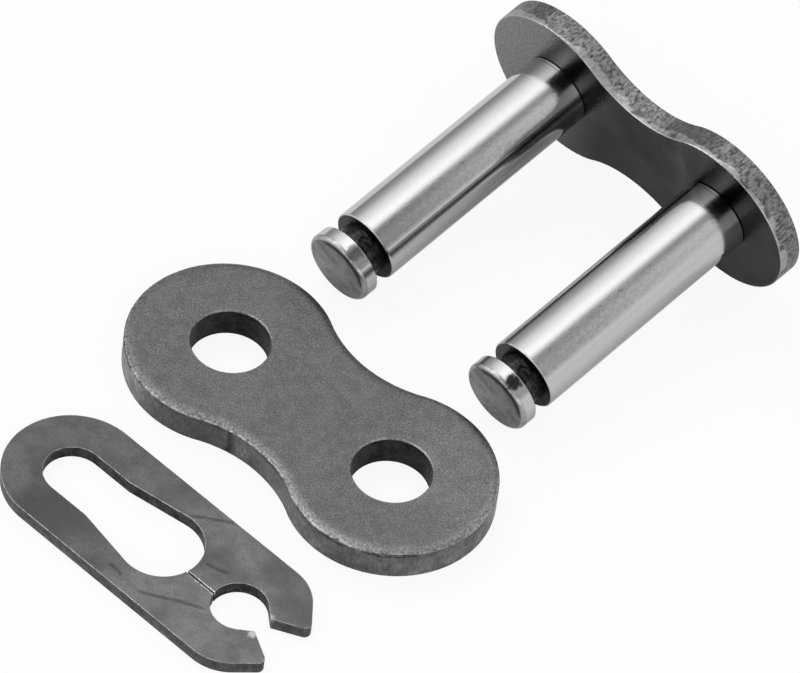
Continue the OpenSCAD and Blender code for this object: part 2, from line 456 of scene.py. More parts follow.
    def hairline(self) -> None:
        """One thin mark between two points on a flat face, slightly wavy and fading at its ends."""
        takes = {"Middle": (0.0, 0.0, 0.0), "Along": (1.0, 0.0, 0.0), "Half Length": 1.0, "Width": 0.05}
        graph, given, result = self.start(Effect.HAIRLINE, takes, "Mask")
        offset = graph.vector("SUBTRACT", given["Vector"], given["Middle"])
        side = graph.dot(offset, graph.vector("CROSS_PRODUCT", given["Along"], (0.0, 0.0, 1.0)))
        wave = graph.times(graph.math("SUBTRACT", graph.noise(given["Vector"], 0.7, 3.0), 0.5), 0.5)
        near = graph.math("DIVIDE", graph.math("ABSOLUTE", graph.math("ADD", side, wave)), given["Width"])
        run = graph.math("ABSOLUTE", graph.dot(offset, given["Along"]))
        ends = graph.math("DIVIDE", run, given["Half Length"])
        core = graph.between(near, 0.3, 1.0, 1.0, 0.0)
        graph.put(result["Mask"], graph.times(core, graph.between(ends, 0.7, 1.0, 1.0, 0.0)))

    def band(self) -> None:
        """Mask that is full between two values and fades outside them, with a ragged edge."""
        takes = {"Value": 0.0, "From": 0.0, "To": 1.0, "Fade": 0.1, "Ragged": 0.1, "Size": 0.5}
        graph, given, result = self.start(Effect.BAND, takes, "Mask")
        rough = graph.noise(given["Vector"], graph.inverse(given["Size"]), 4.0)
        wander = graph.times(graph.math("SUBTRACT", rough, 0.5), given["Ragged"])
        value = graph.math("ADD", given["Value"], wander)
        rise = graph.math("DIVIDE", graph.math("SUBTRACT", value, given["From"]), given["Fade"])
        fall = graph.math("DIVIDE", graph.math("SUBTRACT", given["To"], value), given["Fade"])
        graph.put(result["Mask"], graph.between(graph.math("MINIMUM", rise, fall), 0.0, 1.0))

    def place(self, graph: Graph, effect: Effect, **values: object) -> bpy.types.NodeOutputs:
        """Adds an effect group to a material.

        Args:
            graph: The graph of the material.
            effect: Which effect to place.
            values: Values or sockets by input name, with underscores for spaces.

        Returns:
            The outputs of the group.
        """
        if effect not in self.built:
            makers = {
                Effect.GRAIN: self.grain,
                Effect.PAINTED_EDGE_HIGHLIGHT: self.painted_edge_highlight,
                Effect.CLOUDS: self.clouds,
                Effect.STREAKS: self.streaks,
                Effect.HAIRLINE: self.hairline,
                Effect.BAND: self.band,
                Effect.SPECKS: self.specks,
                Effect.OUTLINE: self.outline,
            }
            makers[effect]()
        return graph.add("Group", {"node_tree": self.built[effect]}, **values).outputs


@dataclass(frozen=True)
class SteelFinish:
    """One steel finish: its slot, its main greys and how it scatters light."""

    slot: Slot
    light: float
    dark: float
    roughness: float
    grain_size: float = 0.12
    grain_depth: float = 0.004
    tint: Triple = (0.98, 1.02, 1.0)

    def grey(self, level: float) -> Triple:
        """Gives the grey of that level in the tint of the steel."""
        red, green, blue = self.tint
        return (level * red, level * green, level * blue)


def empty_tree(owner: bpy.types.Material | bpy.types.World) -> bpy.types.NodeTree:
    """Turns on the nodes of a material or a world and empties its tree."""
    owner.use_nodes = True
    owner.node_tree.nodes.clear()
    return owner.node_tree


class Paint(Graph):
    """The graph of one piece's material, with its finish and the place on the piece at hand."""

    def __init__(self, name: str, finish: SteelFinish, placing: Matrix, shop: EffectShop) -> None:
        """Makes the material with its shader.

        Args:
            name: Name of the material.
            finish: The steel finish that the greys are mixed from.
            placing: The frame of the piece in metres.
            shop: Where the effect groups come from.
        """
        self.material = bpy.data.materials.new(name)
        super().__init__(empty_tree(self.material))
        self.finish = finish
        self.shop = shop
        self.shader = self.add("BsdfPrincipled", None, Metallic=1.0)
        self.put(self.add("OutputMaterial").inputs["Surface"], self.shader.outputs["BSDF"])
        self.here = self.local(placing)
        self.x, self.y, self.z = self.parts(self.here)

    def effect(self, effect: Effect, at: Socket | None = None, **values: object) -> bpy.types.NodeOutputs:
        """Places an effect, read at the place on the piece or at another vector."""
        return self.shop.place(self, effect, Vector=self.here if at is None else at, **values)

    def clouds(self, size: float, low: float, high: float) -> Socket:
        """Places soft clouds of that size, clear below the low level and full above the high one."""
        return self.effect(Effect.CLOUDS, Size=size, Low=low, High=high)["Mask"]

    def grain(self, size: float, low: float = 0.3, high: float = 0.7, at: Socket | None = None) -> Socket:
        """Places fine grain of that size, between a low and a high level of its noise."""
        return self.effect(Effect.GRAIN, at, Size=size, Low=low, High=high)["Value"]

    def streaks(
        self, across: Triple, low: float = 0.35, high: float = 0.65, at: Socket | None = None
    ) -> Socket:
        """Places marks that are close together along the axes with the large numbers."""
        return self.effect(Effect.STREAKS, at, Across=across, Low=low, High=high)["Mask"]

    def specks(self, spacing: float, radius: float, at: Socket | None = None) -> Socket:
        """Places sparse points with that spacing and that radius as a share of it."""
        return self.effect(Effect.SPECKS, at, Spacing=spacing, Radius=radius)["Mask"]

    def band(self, value: Socket, span: Pair, fade: float, ragged: float, size: float) -> Socket:
        """Places a ragged band over a span of a value.

        Args:
            value: The value that the band follows.
            span: Its start and end.
            fade: How softly it ends.
            ragged: How far its ends wander.
            size: Size of the wander along the band.

        Returns:
            The mask.
        """
        ends = {"From": span[0], "To": span[1]}
        return self.effect(Effect.BAND, Value=value, Fade=fade, Ragged=ragged, Size=size, **ends)["Mask"]

    def away(self, point: Triple) -> Socket:
        """Gives the distance from a point of the piece."""
        return self.vector("LENGTH", self.vector("SUBTRACT", self.here, point), gives="Value")

    def toward(self, way: Pair) -> Socket:
        """Gives how far a place lies toward a side, given by its X and Y parts."""
        return self.dot(self.here, (*way, 0.0))

    def greys(self, share: Value, first: float, second: float) -> Socket:
        """Mixes two greys of the steel."""
        return self.blend(share, self.finish.grey(first), self.finish.grey(second))

    def over(self, colour: Socket, upper: Colour, *masks: Value) -> Socket:
        """Lays a colour over another where all the masks are, as far as their product says."""
        return self.blend(self.times(*masks), colour, upper)

    def lay(self, colour: Socket, level: float, *masks: Value) -> Socket:
        """Lays a grey of the steel over a colour where all the masks are."""
        return self.over(colour, self.finish.grey(level), *masks)

    def show(self, colour: Socket, roughness: Socket) -> None:
        """Gives the shader its colour and its roughness."""
        self.put(self.shader.inputs["Base Color"], colour)
        self.put(self.shader.inputs["Roughness"], roughness)

    def bump(self, layers: list[tuple[Socket, float]], soft: float = 0.0) -> None:
        """Adds bump layers in a chain, each with its own depth.

        Args:
            layers: Pairs of a height socket from 0 to 1 and its depth in millimetres.
            soft: Radius in millimetres to which sharp edges look rounded, or 0 to leave them.
        """
        normal = None
        if soft > 0:
            normal = self.add("Bevel", {"samples": 6}, Radius=soft * MM).outputs["Normal"]
        for height, depth in layers:
            node = self.add("Bump", None, Strength=1.0, Distance=depth * MM, Height=height)
            if normal is not None:
                self.put(node.inputs["Normal"], normal)
            normal = node.outputs["Normal"]
        self.put(self.shader.inputs["Normal"], normal)


@dataclass
class DressedPiece:
    """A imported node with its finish, the base of every class below."""

    node: str
    finish: SteelFinish
    placing: Matrix
    shop: EffectShop
    paint: Paint = field(init=False)
    faced: Socket = field(init=False)

    def __post_init__(self) -> None:
        """Opens the material and measures how the surface faces along the axis of the piece."""
        self.paint = Paint(f"{self.node}_finish", self.finish, self.placing, self.shop)
        self.faced = self.paint.facing(self.placing.to_3x3() @ Vector((0, 0, 1)))

    def wall(self) -> Socket:
        """Masks the walls, which face away from the axis of the piece."""
        level = self.paint.math("ABSOLUTE", self.faced)
        return self.paint.between(level, *WALL_FACING, 1.0, 0.0)

    def look(self) -> None:
        """Builds the look of the piece in its material."""
        raise NotImplementedError

    def dress(self) -> None:
        """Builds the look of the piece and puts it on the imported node."""
        self.look()
        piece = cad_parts[self.node]
        piece.data.materials.clear()
        piece.data.materials.append(self.paint.material)
        LOG.info("%s dressed in %s", self.node, self.finish.slot.value)


@dataclass
class StampedPlate(DressedPiece):
    """A waisted side plate, with the distances from its outline and from its hole axes."""

    height: float = 0.0
    waist: float = 0.0
    inside: Socket = field(init=False)
    from_axis: Socket = field(init=False)

    def __post_init__(self) -> None:
        """Measures how far each point lies from the outline and from the nearer hole axis."""
        super().__post_init__()
        half = SIZES.pitch / 2
        head = self.height / 2
        waist = self.waist / 2
        arc = (half * half + waist * waist - head * head) / (2 * (head - waist))
        found = self.paint.effect(Effect.OUTLINE, Half_Pitch=half, Head=head, Waist=waist, Arc=arc)
        self.inside = found["Inside"]
        self.from_axis = found["From Axis"]


@dataclass
class CoverPlate(StampedPlate):
    """The loose cover plate: shot-blasted faces, a rolled rim, a sheared wall and hole walls painted nearly
    black as shade.
    """

    height: float = SIZES.cover_height
    waist: float = SIZES.cover_waist
    speck_grey: float = 0.34
    patch_grey: float = 0.21
    rim_greys: Pair = (0.1, 0.3)
    right_rim_highlight_greys: Pair = (0.2, 0.42)
    back_rim_shade_grey: float = 0.075
    edge_shade_grey: float = 0.02
    painted_highlight_grey: float = 0.5
    wall_greys: Pair = (0.24, 0.46)
    broad_grey: float = 0.1
    smear_grey: float = 0.32
    dull_span: Pair = (-8.5, -0.5)
    dull_grey: float = 0.115
    dark_span: Pair = (-2.2, -1.3)
    dark_grey: float = 0.02
    score_grey: float = 0.05
    glinting_nick_grey: float = 0.42
    bore_shade_greys: Pair = (0.008, 0.055)
    bore_glint_grey: float = 0.09
    lip_highlight_grey: float = 0.42
    wall_roughness: float = 0.42
    grain: Socket = field(init=False)
    coarse: Socket = field(init=False)
    broken: Socket = field(init=False)
    mottle: Socket = field(init=False)
    smear: Socket = field(init=False)
    rim: Socket = field(init=False)

    def __post_init__(self) -> None:
        """Places the textures that the face and the wall share, and masks the rolled rim."""
        super().__post_init__()
        paint = self.paint
        self.grain = paint.grain(self.finish.grain_size)
        self.coarse = paint.grain(0.16, 0.35, 0.65)
        self.broken = paint.clouds(2.2, 0.42, 0.56)
        self.mottle = paint.clouds(0.8, 0.3, 0.7)
        self.smear = paint.streaks((2.6, 2.6, 1.4))
        self.rim = paint.between(self.inside, 0.1, SIZES.roll_width, 1.0, 0.0)

    def face(self) -> Socket:
        """Gives the colour of the blasted faces with their rolled rim, painted brighter as a highlight and
        more so toward the right, painted darker toward the back as shade, and with a painted dark line and a
        painted highlight along the edge.
        """
        paint = self.paint
        clouds = paint.clouds(5.0, 0.35, 0.65)
        face = paint.greys(self.grain, self.finish.dark, self.finish.light)
        face = paint.lay(face, self.speck_grey, paint.specks(0.45, 0.22), clouds, 0.5)
        face = paint.lay(face, self.patch_grey, paint.clouds(2.1, 0.4, 0.62), 0.16)
        face = paint.lay(face, self.finish.dark, paint.clouds(0.6, 0.42, 0.62), 0.3)
        # rolled rim: its own coarse grain, painted brighter as a highlight
        face = paint.over(face, paint.greys(self.coarse, *self.rim_greys), self.rim, 0.7)
        # painted highlight, stronger toward the right
        righter = paint.between(paint.x, -1.0, 6.0, 0.0, 0.5)
        face = paint.over(face, paint.greys(self.coarse, *self.right_rim_highlight_greys), self.rim, righter)
        # painted shade: the rim toward the back is painted darker
        back = paint.between(paint.y, 1.5, 4.5)
        turned = paint.between(self.inside, 0.15, 0.6, 1.0, 0.0)
        face = paint.lay(face, self.back_rim_shade_grey, back, turned, 0.45)
        far_right = paint.times(paint.between(paint.x, 3.0, 8.0), paint.between(paint.y, -3.5, 2.0))
        face = paint.blend(1.0, face, paint.between(far_right, 0.0, 1.0, 1.0, 1.2), "MULTIPLY")
        # painted shade: a dark ragged line along the edge of the face
        edge_shade_line = paint.band(self.inside, (-0.05, 0.1), 0.04, 0.2, 0.3)
        face = paint.lay(face, self.edge_shade_grey, edge_shade_line, self.broken, 0.9)
        # painted highlight: a bright ragged line along the edge of the face
        bright = paint.band(self.inside, (0.02, 0.12), 0.05, 0.2, 0.3)
        return paint.lay(face, self.painted_highlight_grey, bright, self.coarse, 0.8)

    def side(self) -> Socket:
        """Gives the colour of the sheared wall, with painted shade and a painted highlight under the rolled
        edge, and of the hole walls, painted nearly black as shade.
        """
        paint = self.paint
        edge = SIZES.cover_thickness - SIZES.roll_depth
        side = paint.greys(self.mottle, *self.wall_greys)
        side = paint.lay(side, self.broad_grey, paint.clouds(5.5, 0.4, 0.6), 0.6)
        side = paint.lay(side, self.smear_grey, self.smear, 0.2)
        side = paint.lay(side, self.dull_grey, paint.band(paint.x, self.dull_span, 2.5, 2.0, 2.5), 0.7)
        side = paint.lay(side, self.dark_grey, paint.band(paint.x, self.dark_span, 0.5, 0.8, 1.2), 0.88)
        # painted shade under the rolled edge, broken into patches
        shaded = paint.band(paint.z, (edge - 0.2, edge - 0.02), 0.07, 0.45, 0.5)
        side = paint.lay(side, self.dark_grey, shaded, paint.raised(self.broken, 0.8, 0.2))
        # painted highlight just below the rolled edge
        lit = paint.band(paint.z, (edge - 0.04, edge + 0.2), 0.05, 0.12, 0.4)
        side = paint.lay(side, self.painted_highlight_grey, lit, 0.6)
        scored = paint.grain(0.13, at=paint.stretch(paint.here, (1.2, 1.2, 0.35)))
        side = paint.lay(side, self.score_grey, scored, 0.6)
        # real nicks on the wall, painted bright as glints
        glinting_nicks = paint.specks(0.5, 0.16, at=paint.stretch(paint.here, (1.6, 1.6, 0.5)))
        side = paint.lay(side, self.glinting_nick_grey, glinting_nicks, 0.45)
        radius = SIZES.cover_hole / 2
        # painted shade: the hole walls are painted nearly black, with painted glints
        bored = paint.greys(self.mottle, *self.bore_shade_greys)
        bored = paint.lay(bored, self.bore_glint_grey, self.coarse, 0.3)
        return paint.over(side, bored, paint.between(self.from_axis, radius + 0.3, radius + 0.15))

    def look(self) -> None:
        """Joins the face, the wall and the painted highlights on the upper lips of the holes."""
        paint = self.paint
        finish = self.finish
        wall = self.wall()
        colour = paint.over(self.face(), self.side(), wall)
        radius = SIZES.cover_hole / 2
        # painted highlight on the upper lips of the holes
        lip = paint.band(self.from_axis, (radius - 0.04, radius + 0.12), 0.05, 0.12, 0.2)
        upper = paint.between(paint.z, SIZES.cover_thickness - 0.1, SIZES.cover_thickness - 0.04)
        colour = paint.lay(colour, self.lip_highlight_grey, lip, upper, self.coarse, 0.75)
        gloss = paint.between(self.grain, 0.0, 1.0, finish.roughness + 0.05, finish.roughness - 0.05)
        paint.show(colour, paint.choose(wall, gloss, self.wall_roughness))
        torn = paint.times(paint.math("ADD", self.smear, self.mottle), wall)
        crest = paint.times(self.coarse, self.rim, paint.flipped(wall))
        paint.bump([(self.grain, finish.grain_depth), (crest, 0.012), (torn, 0.012)])


@dataclass
class PinLinkPlate(StampedPlate):
    """The plate that carries the pins: satin inner face, sheared wall with a torn zone."""

    height: float = SIZES.pin_plate_height
    waist: float = SIZES.pin_plate_waist
    painted_light_from: float = -2.5
    painted_light_greys: Pair = (0.15, 0.285)
    blasted_greys: Pair = (0.09, 0.18)
    blasted_patch_grey: float = 0.2
    painted_highlight_grey: float = 0.5
    torn_greys: Pair = (0.06, 0.31)
    smear_grey: float = 0.3
    dull_spans: tuple[Pair, ...] = ((-9.3, -7.4), (1.6, 6.2))
    dull_greys: Pair = (0.09, 0.15)
    smooth_greys: Pair = (0.3, 0.46)
    gouge_grey: float = 0.07
    wall_roughness: float = 0.44
    grain: Socket = field(init=False)
    outer: Socket = field(init=False)
    speck: Socket = field(init=False)
    smear: Socket = field(init=False)
    depth: Socket = field(init=False)
    shear: Socket = field(init=False)

    def __post_init__(self) -> None:
        """Places the textures that the colours and the bumps share, and masks the outer face."""
        super().__post_init__()
        paint = self.paint
        self.grain = paint.grain(self.finish.grain_size, 0.36, 0.64)
        self.outer = paint.between(self.faced, -0.5, -0.7)
        self.speck = paint.grain(0.17, 0.38, 0.62, at=paint.stretch(paint.here, (1.0, 1.0, 0.6)))
        slanted = paint.add("Mapping", None, Vector=paint.here, Rotation=(0.35, 0.0, 0.0))
        self.smear = paint.streaks((4.5, 4.5, 1.0), 0.36, 0.64, at=slanted.outputs[0])
        self.depth = paint.times(paint.z, -1.0)
        self.shear = paint.band(self.depth, (-1.2, 0.4), 0.12, 2.2, 2.6)

    def face(self) -> Socket:
        """Gives the colour of the satin inner face, painted lighter on the left head and in a band right of
        the middle as painted reflection, and of the blasted outer one, both with a painted highlight along
        the outline.
        """
        paint = self.paint
        light = self.finish.light
        clouds = paint.clouds(3.0, 0.38, 0.62)
        face = paint.greys(self.grain, self.finish.dark, light)
        face = paint.lay(face, light * 1.5, clouds, 0.5)
        # painted reflection: the left head and a band right of the middle are painted lighter
        painted_lighter = paint.between(paint.x, self.painted_light_from, self.painted_light_from - 5.0)
        painted_lighter = paint.larger(painted_lighter, paint.band(paint.x, (2.6, 4.6), 1.6, 1.5, 4.0))
        share = paint.between(paint.x, 0.0, -4.0, 0.3, 0.9)
        face = paint.over(face, paint.greys(self.grain, *self.painted_light_greys), painted_lighter, share)
        turned = paint.add("CombineXYZ", None, X=paint.times(self.from_axis, 7.0)).outputs[0]
        rings = paint.between(paint.noise(turned, 1.0, 3.0), 0.5, 0.7)
        face = paint.lay(face, light * 1.9, rings, paint.between(self.from_axis, 5.0, 3.0), 0.32)
        blasted = paint.greys(self.grain, *self.blasted_greys)
        blasted = paint.lay(blasted, self.blasted_patch_grey, clouds, 0.3)
        face = paint.over(face, blasted, self.outer)
        # painted highlight along the outline of the faces
        bright = paint.band(self.inside, (-0.1, 0.09), 0.05, 0.06, 0.4)
        return paint.lay(face, self.painted_highlight_grey, bright, 0.7)

    def side(self) -> Socket:
        """Gives the colour of the wall: a torn zone, and a smooth sheared one near the inner face, with a
        painted highlight along the inner edge.
        """
        paint = self.paint
        torn = paint.greys(self.speck, *self.torn_greys)
        torn = paint.lay(torn, self.smear_grey, self.smear, 0.4)
        patch = paint.times(paint.clouds(4.2, 0.43, 0.52), 0.3)
        for span in self.dull_spans:
            patch = paint.larger(patch, paint.band(paint.x, span, 0.5, 1.0, 1.2))
        torn = paint.over(torn, paint.greys(self.speck, *self.dull_greys), patch, 0.85)
        smooth = paint.greys(self.smear, *self.smooth_greys)
        smooth = paint.lay(smooth, self.gouge_grey, paint.clouds(1.8, 0.53, 0.6), 0.85)
        # painted highlight: a bright line where the wall meets the inner face
        inner_edge_highlight = paint.band(self.depth, (-0.3, 0.1), 0.04, 0.06, 0.3)
        return paint.lay(paint.over(torn, smooth, self.shear), self.painted_highlight_grey, inner_edge_highlight, 0.6)

    def look(self) -> None:
        """Joins the faces and the wall."""
        paint = self.paint
        finish = self.finish
        wall = self.wall()
        colour = paint.over(self.face(), self.side(), wall)
        rougher = paint.larger(wall, self.outer)
        paint.show(colour, paint.choose(rougher, finish.roughness, self.wall_roughness))
        rough = paint.math("ADD", paint.times(self.smear, 0.6), self.speck)
        rough = paint.times(rough, wall, paint.flipped(self.shear))
        paint.bump([(self.grain, finish.grain_depth), (rough, 0.022), (paint.times(self.shear, wall), 0.03)])


@dataclass
class GroundPin(DressedPiece):
    """One pin: ground bearing length, turned groove and a tumbled head.

    The sides are directions across the pin, given by their X and Y parts.
    """

    side: float = -1.0
    crescent_shade_side: Pair = (0.45, 0.89)
    dark_reflection_side: Pair = (0.574, 0.819)
    painted_light: float = 0.4
    under_side: Pair = (0.985, -0.174)
    shaded: float = 0.1
    stain: float = 0.5
    stain_way: Pair = (0.41, 0.91)
    stain_place: Pair = (2.2, 17.3)
    mirrored: float = 0.66
    ground_speck_grey: float = 0.5
    matte_greys: Pair = (0.16, 0.34)
    spot_grey: float = 0.1
    pale_spot_grey: float = 0.36
    crescent_shade_grey: float = 0.03
    rim_greys: Pair = (0.4, 0.16)
    dull_grey: float = 0.12
    fleck_grey: float = 0.2
    under_shade_grey: float = 0.22
    stain_grey: float = 0.02
    seat_shade_grey: float = 0.01
    groove_shade_greys: Pair = (0.004, 0.06)
    core_spot_grey: float = 0.09
    flank_shade_grey: float = 0.03
    matte_roughness: float = 0.34
    groove_roughness: float = 0.3
    groove_end: float = SIZES.groove_start + SIZES.groove_width
    radius: Socket = field(init=False)
    end: Socket = field(init=False)
    groove: Socket = field(init=False)
    rim: Socket = field(init=False)
    shell: Socket = field(init=False)
    speck: Socket = field(init=False)
    spots: Socket = field(init=False)
    stains: Socket = field(init=False)
    turning: Socket = field(init=False)

    def __post_init__(self) -> None:
        """Moves the frame to the axis of this pin, masks its parts and places its textures."""
        self.placing = self.placing @ Matrix.Translation(Vector((self.side * SIZES.pitch / 2, 0, 0)) * MM)
        super().__post_init__()
        paint = self.paint
        along = paint.z
        outside = SIZES.pin_diameter / 2
        rim_start = SIZES.pin_reach - SIZES.pin_rim
        plate = SIZES.pin_plate_thickness
        self.radius = paint.length(paint.x, paint.y)
        free_end = paint.between(along, SIZES.pin_reach - 0.5, SIZES.pin_reach - 0.3)
        free_end = paint.times(paint.between(self.faced, 0.8, 0.97), free_end)
        self.end = paint.larger(free_end, paint.between(along, 0.1 - plate, -plate))
        past_start = paint.math("SUBTRACT", along, SIZES.groove_start - 0.03)
        before_end = paint.math("SUBTRACT", self.groove_end + 0.02, along)
        slot = paint.between(paint.math("MINIMUM", past_start, before_end), 0.0, 0.03)
        self.groove = paint.times(slot, paint.between(self.radius, outside, outside - 0.06))
        rim = paint.between(along, rim_start - 0.05, rim_start + 0.05)
        self.rim = paint.times(rim, paint.flipped(self.end))
        self.shell = paint.flipped(paint.larger(self.end, self.groove))
        self.speck = paint.grain(0.1)
        self.spots = paint.clouds(0.55, 0.38, 0.66)
        self.stains = paint.clouds(1.8, 0.38, 0.62)
        self.turning = paint.streaks((2.6, 2.6, 5.0), 0.45, 0.66)

    def ends(self, colour: Socket) -> Socket:
        """Lays the tumbled ends, with a painted crescent of shade inside the rim on one side, and the rounded
        rim over the ground steel.
        """
        paint = self.paint
        matte = paint.greys(self.speck, *self.matte_greys)
        matte = paint.lay(matte, self.spot_grey, self.spots, 0.6)
        matte = paint.lay(matte, self.pale_spot_grey, self.stains, 0.5)
        # painted shade: a dark crescent inside the rim on one side
        outward = paint.between(paint.toward(self.crescent_shade_side), 0.7, 1.4)
        matte = paint.lay(matte, self.crescent_shade_grey, paint.between(self.radius, 1.66, 1.86), outward, 0.92)
        colour = paint.over(colour, matte, self.end)
        return paint.over(colour, paint.greys(self.spots, *self.rim_greys), self.rim, 0.8)

    def flecks(self) -> Socket:
        """Masks the fine pits on the side band that carries the painted dark reflection; they grow toward the
        free end.
        """
        paint = self.paint
        pitted = paint.noise(paint.stretch(paint.here, (8.0, 8.0, 3.6)), 1.0, 4.0, 0.65)
        pitted = paint.between(pitted, 0.42, 0.6)
        used = paint.between(paint.math("ADD", paint.z, paint.times(self.stains, 4.0)), 3.0, 15.0, 0.25, 1.0)
        # the side band of the painted dark reflection
        painted_light = paint.between(paint.toward(self.dark_reflection_side), 2.12, 2.2, 0.04, 1.0)
        return paint.times(pitted, used, painted_light, self.shell)

    def shank(self, colour: Socket, flecks: Socket) -> Socket:
        """Lays the painted dark reflection on one side, the pits, and the painted shade on the underside over
        the ground steel.
        """
        paint = self.paint
        # painted reflection: a dark band on one side, darker toward the free end
        painted_dark_reflection = paint.between(paint.z, 1.0, 17.0, 0.0, self.painted_light)
        painted_light = paint.between(paint.toward(self.dark_reflection_side), 2.11, 2.21)
        colour = paint.lay(colour, self.dull_grey, painted_dark_reflection, painted_light, self.shell)
        colour = paint.lay(colour, self.fleck_grey, flecks, 0.3)
        # painted shade: a dark band on the underside, strongest toward the plate
        under = paint.between(paint.toward(self.under_side), 1.93, 2.14)
        under = paint.times(under, paint.between(paint.z, 7.0, 15.5, self.shaded, self.shaded * 0.3))
        drag = paint.raised(paint.streaks((6.0, 6.0, 0.25)), 0.5, 0.6)
        return paint.lay(colour, self.under_shade_grey, under, drag, self.shell)

    def marks(self, colour: Socket) -> Socket:
        """Lays the stain of the head and the painted shade line where the pin meets its plate."""
        paint = self.paint
        stain_spot = (*(self.stain_place[0] * way for way in self.stain_way), self.stain_place[1])
        stained = paint.band(paint.away(stain_spot), (-2.0, 0.6), 0.3, 0.9, 0.35)
        past_groove = paint.between(paint.z, self.groove_end + 0.08, self.groove_end + 0.2)
        off_end = paint.flipped(self.end)
        colour = paint.lay(colour, self.stain_grey, stained, past_groove, self.stain, off_end)
        # painted shade: a dark line at the foot of the pin, on one side
        seat_shade = paint.band(paint.z, (0.18, 0.26), 0.04, 0.06, 0.4)
        return paint.lay(colour, self.seat_shade_grey, seat_shade, paint.between(paint.x, 0.9, 0.2, 0.05, 0.8))

    def core(self) -> Socket:
        """Gives the colour of the turned groove, painted nearly black as shade, flanks included."""
        paint = self.paint
        bottom = SIZES.groove_diameter / 2
        # painted shade: the groove and its flanks are painted nearly black
        core = paint.greys(self.turning, *self.groove_shade_greys)
        core = paint.lay(core, self.core_spot_grey, self.spots, 0.5)
        return paint.lay(core, self.flank_shade_grey, paint.between(self.radius, bottom + 0.03, bottom + 0.1))

    def look(self) -> None:
        """Joins the parts of the pin and darkens what other polished steel shows of it."""
        paint = self.paint
        finish = self.finish
        grinding = paint.streaks((0.5, 0.5, 7.0), 0.3, 0.7)
        flecks = self.flecks()
        colour = paint.greys(grinding, finish.dark, finish.light)
        colour = paint.lay(colour, self.ground_speck_grey, self.speck, 0.1)
        colour = self.marks(self.shank(self.ends(colour), flecks))
        colour = paint.over(colour, self.core(), self.groove)
        # painted shade in reflections: other polished steel shows the pin darker
        glossy = paint.add("LightPath").outputs["Is Glossy Ray"]
        colour = paint.over(colour, BLACK, glossy, self.mirrored)
        smooth = paint.between(grinding, 0.0, 1.0, finish.roughness + 0.02, finish.roughness - 0.02)
        blunt = paint.larger(self.end, self.rim)
        gloss = paint.choose(blunt, smooth, self.matte_roughness)
        paint.show(colour, paint.choose(self.groove, gloss, self.groove_roughness))
        dents = paint.times(self.spots, blunt)
        tumbled = paint.times(self.speck, self.end)
        turned = paint.times(self.turning, self.groove)
        paint.bump([(flecks, 0.004), (dents, 0.006), (tumbled, 0.003), (turned, 0.008)])


